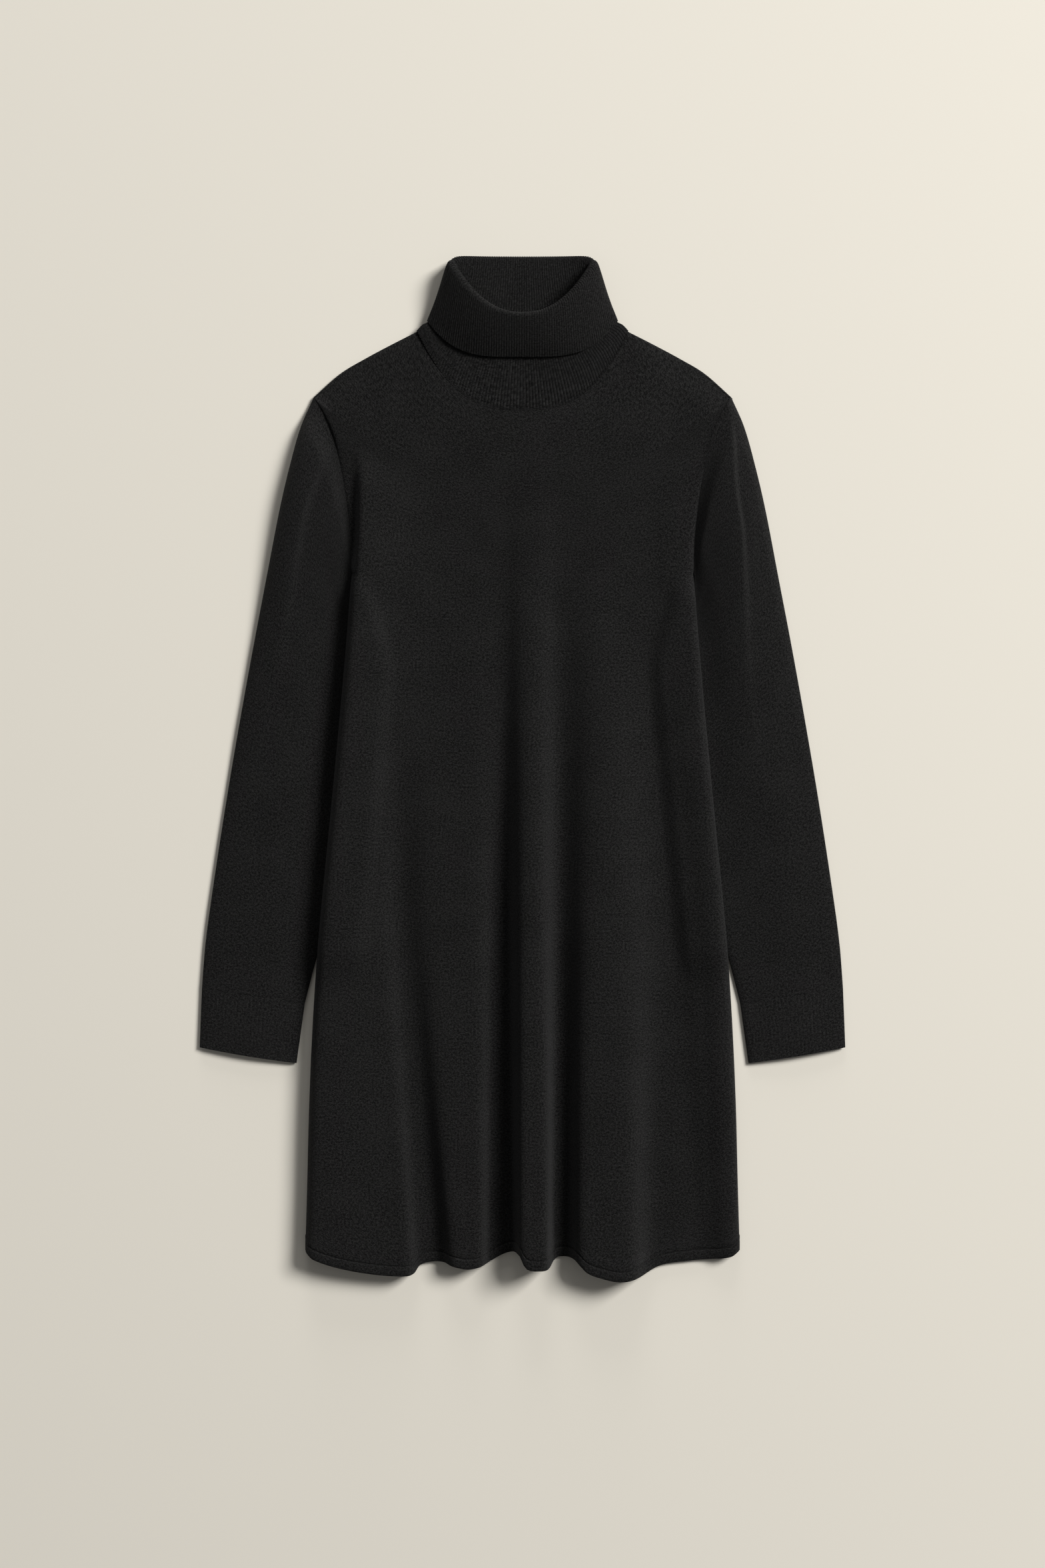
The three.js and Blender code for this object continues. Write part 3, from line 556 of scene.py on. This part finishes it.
# Sleeves: each a jersey tube with its seam under the arm, set into the armhole. They lie flattened beside the
# body, their inner edges tucked under it, and a soft ridge of trapped air runs down from each shoulder.
# Down the sleeve from the armhole to the wrist: its two edges, its ridge, the crease beside the ridge and
# the strip left clear of both. Those places are shares of the way from the inner to the outer edge.
sleeve_path = {
    "t": [0.0, 0.05, 0.12, 0.2, 0.3, 0.42, 0.55, 0.68, 0.82, 0.92, 1.0],
    "inner_x": [161.6, 162.2, 161.0, 151.6, 142.6, 141.4, 149.4, 164.0, 181.6, 195.4, 205.6],
    "inner_y": [185, 166, 146, 119, 86, 40, -16, -73, -134, -181, -220.4],
    "outer_x": [197.2, 209.2, 219.4, 229.4, 240.6, 253.4, 266.8, 279.2, 291.4, 299.2, 302.6],
    "outer_y": [351.5, 324, 288, 245, 187, 120, 46, -27, -106, -163, -206],
    "ridge": [11.0, 13.4, 14.6, 14.4, 13.4, 11.6, 10.0, 9.0, 8.2, 7.8, 7.2],
    "left_ridge_at": [0.84, 0.84, 0.83, 0.82, 0.8, 0.76, 0.7, 0.66, 0.6, 0.56, 0.5],
    "right_ridge_at": [0.76, 0.76, 0.75, 0.72, 0.7, 0.68, 0.66, 0.66, 0.64, 0.58, 0.5],
    "left_crease_at": [0.7, 0.74, 0.74, 0.74, 0.76, 0.78, 0.8, 0.8, 0.8, 0.8, 0.8],
    "right_crease_at": [0.97, 0.905, 0.78, 0.735, 0.705, 0.65, 0.63, 0.64, 0.66, 0.66, 0.66],
    "crease": [0.0, 5.2, 5.4, 4.8, 3.4, 2.2, 1.0, 0.4, 0.0, 0.0, 0.0],
    "left_crease_reach": [5.0, 5.0, 5.0, 5.0, 5.0, 5.0, 5.0, 5.0, 5.0, 5.0, 5.0],
    "right_crease_reach": [2.4, 2.4, 2.5, 2.8, 3.4, 4.8, 6.0, 6.0, 6.0, 6.0, 6.0],
    "clear": [0.0, 0.04, 0.06, 0.17, 0.25, 0.27, 0.24, 0.165, 0.08, 0.03, 0.03],
}
sleeve_length, sleeve_cloth = 480, 1.8
sleeve_waves = {"size": 30, "strength": 0.5, "seed": 11.3}
sleeve_columns, edge_crowding = {"over": 120, "under": 36}, 0.8
sleeve_steps, step_growth = 150, 1.15
bow_fade = 0.2
ridge_beyond = 1.15
crease_rise = 4


def sleeve_row(t, side):
    row = {"t": t, **{name: float(read(sleeve_path, "t", name, t)) for name in sleeve_path if name != "t"}}
    row["side"] = side
    for name in ("ridge_at", "crease_at", "crease_reach"):
        row[name] = row[("left_" if side < 0 else "right_") + name]
    return row


def hump(d):
    return np.where(np.abs(d) < 1, (1 - d * d) ** 2, 0.0)


def sleeve_place(row, s):
    """Place on a sleeve seen from above, s across it from its inner to its outer edge."""
    bow = 1 - ease(row["t"] / bow_fade)
    places = []
    for axis in ("x", "y"):
        chord = mix(row["inner_" + axis], row["outer_" + axis], s)
        first = mix(sleeve_path["inner_" + axis][0], sleeve_path["outer_" + axis][0], s)
        places.append(chord + bow * (read(armhole_seam, "s", axis, s) - first))
    return places


def sleeve_width(row):
    return math.hypot(row["outer_x"] - row["inner_x"], row["outer_y"] - row["inner_y"])


def sleeve_heights(row, s):
    width = sleeve_width(row)
    inner_curl = rounding(s * width, sleeve_curl["inner"])
    open_ = np.minimum(inner_curl, rounding((1 - s) * width, sleeve_curl["outer"]))
    spread = np.where(s < row["ridge_at"], row["ridge_at"] - row["clear"], ridge_beyond - row["ridge_at"])
    crown = sleeve_flat + (row["ridge"] - sleeve_flat) * hump((s - row["ridge_at"]) / spread)
    step = np.tanh((s - row["crease_at"]) * width / row["crease_reach"])
    crown = crown + row["crease"] * (1 - row["side"] * step) / 2 * ease((s - row["clear"]) * crease_rise)
    outer_rim = mix(shoulder_rim, sleeve_rim["outer"], ease(row["t"] / bow_fade))
    rim = mix(sleeve_rim["inner"], outer_rim, s)
    seam_top, seam_bottom = armhole_heights(s, row["side"])
    at_seam = 1 - ease(row["t"] / sleeve_path["t"][1])
    return mix(mix(rim, crown, open_), seam_top, at_seam), mix(mix(rim, 0, open_), seam_bottom, at_seam)


def sleeve_ring(row, side, over, under, proud, bow):
    """Ring round a sleeve: over the top from its inner to its outer edge, and back below."""
    x, y = sleeve_place(row, over)
    top, _ = sleeve_heights(row, over)
    x2, y2 = sleeve_place(row, under)
    _, bottom = sleeve_heights(row, under)
    upper = np.stack([side * x, y + bow * (1 - (2 * over - 1) ** 2), top + proud(over)], axis=1)
    lower = np.stack([side * x2, y2 + bow * (1 - (2 * under - 1) ** 2), bottom], axis=1)
    return np.concatenate([upper, lower[1:]])


def closer_at_edges(count):
    s = np.linspace(0, 1, count + 1)
    return mix(s, (1 - np.cos(math.pi * s)) / 2, edge_crowding)


def tube_object(name, rings, thickness):
    """A closed tube of cloth through rings of points, kept above the surface."""
    for ring in rings:
        ring[:, 2] = np.maximum(ring[:, 2], 0.0)
        ring[-1] = ring[0]
    return cloth_object(name, len(rings[0]) - 1, len(rings) - 1, rings, cloth_map(rings), True, thickness, 1)


def sleeve_piece(name, node, side):
    over, under = closer_at_edges(sleeve_columns["over"]), closer_at_edges(sleeve_columns["under"])[::-1]
    points = []
    for t in np.linspace(0, 1, sleeve_steps) ** step_growth:
        row = sleeve_row(float(t), side)
        from_armhole = t * sleeve_length

        def proud(s, from_armhole=from_armhole):
            return -seam_dip_at(from_armhole) * np.sin(math.pi * s)

        points.append(sleeve_ring(row, side, over, under, proud, 0.0))
    soft_unevenness(points, sleeve_waves["size"], sleeve_waves["strength"], sleeve_waves["seed"] + side)
    piece = tube_object(name, points, sleeve_cloth)
    piece.data.materials.append(jersey)
    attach(piece, "root")
    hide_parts(node)
    return piece


sleeve_piece("sleeve_left", "left_sleeve", -1)
sleeve_piece("sleeve_right", "right_sleeve", 1)

# Cuffs: ribbed bands 55 mm deep, knitted on at the wrists and lying flat, their ribs running along the arm.
cuff_end = {"inner_x": 213.4, "inner_y": -277, "outer_x": 304.8, "outer_y": -262, "ridge": 6.8}
cuff_bow, cuff_ribs, cuff_points_per_rib = 0.8, 27, 8
cuff_rib = {"depth": 0.28, "starts_over": 0.05, "wears_off": 0.35, "roundness": 0.6, "sides": 0.25}
rib_middle = 0.5
cuff_steps = np.concatenate([[0.0, 0.012, 0.03, 0.06], np.linspace(0.1, 0.96, 20), [0.98, 1.0]])
rib_black = (0.0006, 0.0006, 0.0006)
rib_knit = knit_material("black rib knit", rib_black, (0.0184, 0.0183, 0.0183),
                         fuzz=0.5, relief=0.35, sheen=0.06)


def cuff_piece(name, node, side):
    top = sleeve_row(1.0, side)
    over = np.linspace(0, 1, cuff_ribs * cuff_points_per_rib + 1)
    under = over[::-1]
    points = []
    for t in cuff_steps:
        row = dict(top)
        for key, end in cuff_end.items():
            row[key] = mix(top[key], end, t)
        depth = cuff_rib["depth"] * float(ease(t / cuff_rib["starts_over"])) * (1 - cuff_rib["wears_off"] * t)

        def proud(s, depth=depth):
            ribs = np.abs(np.cos(math.pi * s * cuff_ribs)) ** cuff_rib["roundness"] - rib_middle
            return depth * ribs * np.sin(math.pi * clamp01(s)) ** cuff_rib["sides"]

        points.append(sleeve_ring(row, side, over, under, proud, -cuff_bow * t))
    piece = tube_object(name, points, sleeve_cloth)
    piece.data.materials.append(rib_knit)
    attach(piece, "root")
    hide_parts(node)
    return piece


cuff_piece("cuff_left", "left_cuff", -1)
cuff_piece("cuff_right", "right_cuff", 1)

# Roll collar: a ribbed tube sewn to the neckline. It stands up, folds over and comes down outside itself. Its
# back lies flat, and its front has sunk between the shoulders, so that the mouth shows the ribs of the back's
# inner face.
# Along the cloth of the collar, from its seam up to the fold and down to its free edge: where its front,
# sides and back lie and how high, and how squarely its rings turn.
collar_rings = {
    "run": [0, 25.5, 54, 93, 96.2, 99.5, 123.2, 140.5],
    "half": [99.4, 94.4, 84.0, 63.8, 67.8, 71.0, 80.6, 89.2],
    "front": [338.0, 364, 390, 423.6, 426.4, 423.4, 402.6, 388],
    "side": [413.3, 418.4, 427, 473, 477.6, 473, 444, 422.4],
    "back": [398.2, 408, 421, 480.4, 483.6, 480.4, 446, 424],
    "z_front": [8.9, 11.4, 14.4, 27.6, 31.0, 33.0, 25.0, 16.6],
    "z_side": [4.8, 6.2, 7.8, 10.0, 11.0, 9.6, 8.2, 7.4],
    "z_back": [1.0, 2.4, 4.6, 4.6, 2.8, 1.0, 1.0, 1.0],
    "arch": [0.3, 0.45, 0.6, 0.55, 0.5, 0.5, 0.6, 0.75],
    "turn": [2.8, 3.0, 3.2, 2.25, 2.25, 2.25, 3.0, 3.8],
    "back_turn": [3, 4, 6, 14, 16, 14, 8, 6],
}
collar_ribs = {"front": 86, "back": 64}
collar_rib_depth = {"run": [0, 70, 90, 96, 104, 125, 140.5], "depth": [1.1, 1.0, 0.8, 0.9, 0.6, 0.6, 0.8]}
points_per_rib, fine_angles = 5, 1441
collar_rib = {"shown_side": 0.8, "roundness": 0.7, "starts_over": 2.5, "edge_loss": 0.3, "edge_over": 1.2}
collar_cloth = 1.6
back_crown_turn = 4


def collar_ring(run):
    """One ring of the collar's middle surface, its front and back ribs evenly spaced along it."""
    ring = {name: float(read(collar_rings, "run", name, run)) for name in collar_rings if name != "run"}
    halves = []
    for part, ribs in collar_ribs.items():
        q = np.cos(np.linspace(0, math.pi, fine_angles))
        turn = ring["turn"] if part == "front" else ring["back_turn"]
        depth = 1 - np.abs(q) ** turn
        crown = (1 - q * q) ** (ring["arch"] / 2) if part == "front" else 1 - np.abs(q) ** back_crown_turn
        y = mix(ring["side"], ring[part], depth)
        z = mix(ring["z_side"], ring["z_" + part], crown)
        line = np.stack([ring["half"] * q, y, z], axis=1)
        if part == "back":
            line = line[::-1]
        lengths = np.concatenate([[0], np.cumsum(np.linalg.norm(np.diff(line, axis=0), axis=1))])
        wanted = np.linspace(0, lengths[-1], ribs * points_per_rib + 1)
        halves.append(np.stack([np.interp(wanted, lengths, line[:, k]) for k in range(3)], axis=1))
    return np.concatenate([halves[0], halves[1][1:]])


def rolled(points, outward):
    """Moves a closed grid of points along its normals, by outward for each point."""
    grid = np.array(points)
    along = np.empty_like(grid)
    along[:, 1:-1] = grid[:, 2:] - grid[:, :-2]
    along[:, 0] = along[:, -1] = grid[:, 1] - grid[:, -2]
    up = np.gradient(grid, axis=0)
    normal = np.cross(along, up)
    normal /= np.maximum(np.linalg.norm(normal, axis=2, keepdims=True), 1e-9)
    return grid + normal * outward[:, :, None]


collar_knit = knit_material("black collar rib", rib_black, (0.0166, 0.0165, 0.0165),
                            fuzz=0.5, relief=0.35, sheen=0.06)
collar_runs = np.concatenate([
    np.linspace(0, 88, 33), np.linspace(90, 103, 15), np.linspace(105.5, 138, 14), [139.3, 140.2, 140.5],
])
collar_middle = [collar_ring(float(run)) for run in collar_runs]
rib_count = sum(collar_ribs.values())
phase = np.arange(rib_count * points_per_rib + 1) / points_per_rib
rib_wave = np.abs(np.cos(math.pi * phase)) ** collar_rib["roundness"] - rib_middle
from_seam = clamp01(collar_runs / collar_rib["starts_over"])[:, None]
near_edge = np.exp(-((collar_runs - collar_runs[-1]) / collar_rib["edge_over"]) ** 2)[:, None]
at_edge = 1 - collar_rib["edge_loss"] * near_edge
rib_depth = read(collar_rib_depth, "run", "depth", collar_runs)[:, None]
ribs_out = collar_rib["shown_side"] + rib_depth * rib_wave[None, :] * from_seam * at_edge
collar = tube_object("collar", rolled(collar_middle, ribs_out), collar_cloth)
collar.data.materials.append(collar_knit)
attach(collar, "root")
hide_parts("roll_collar")
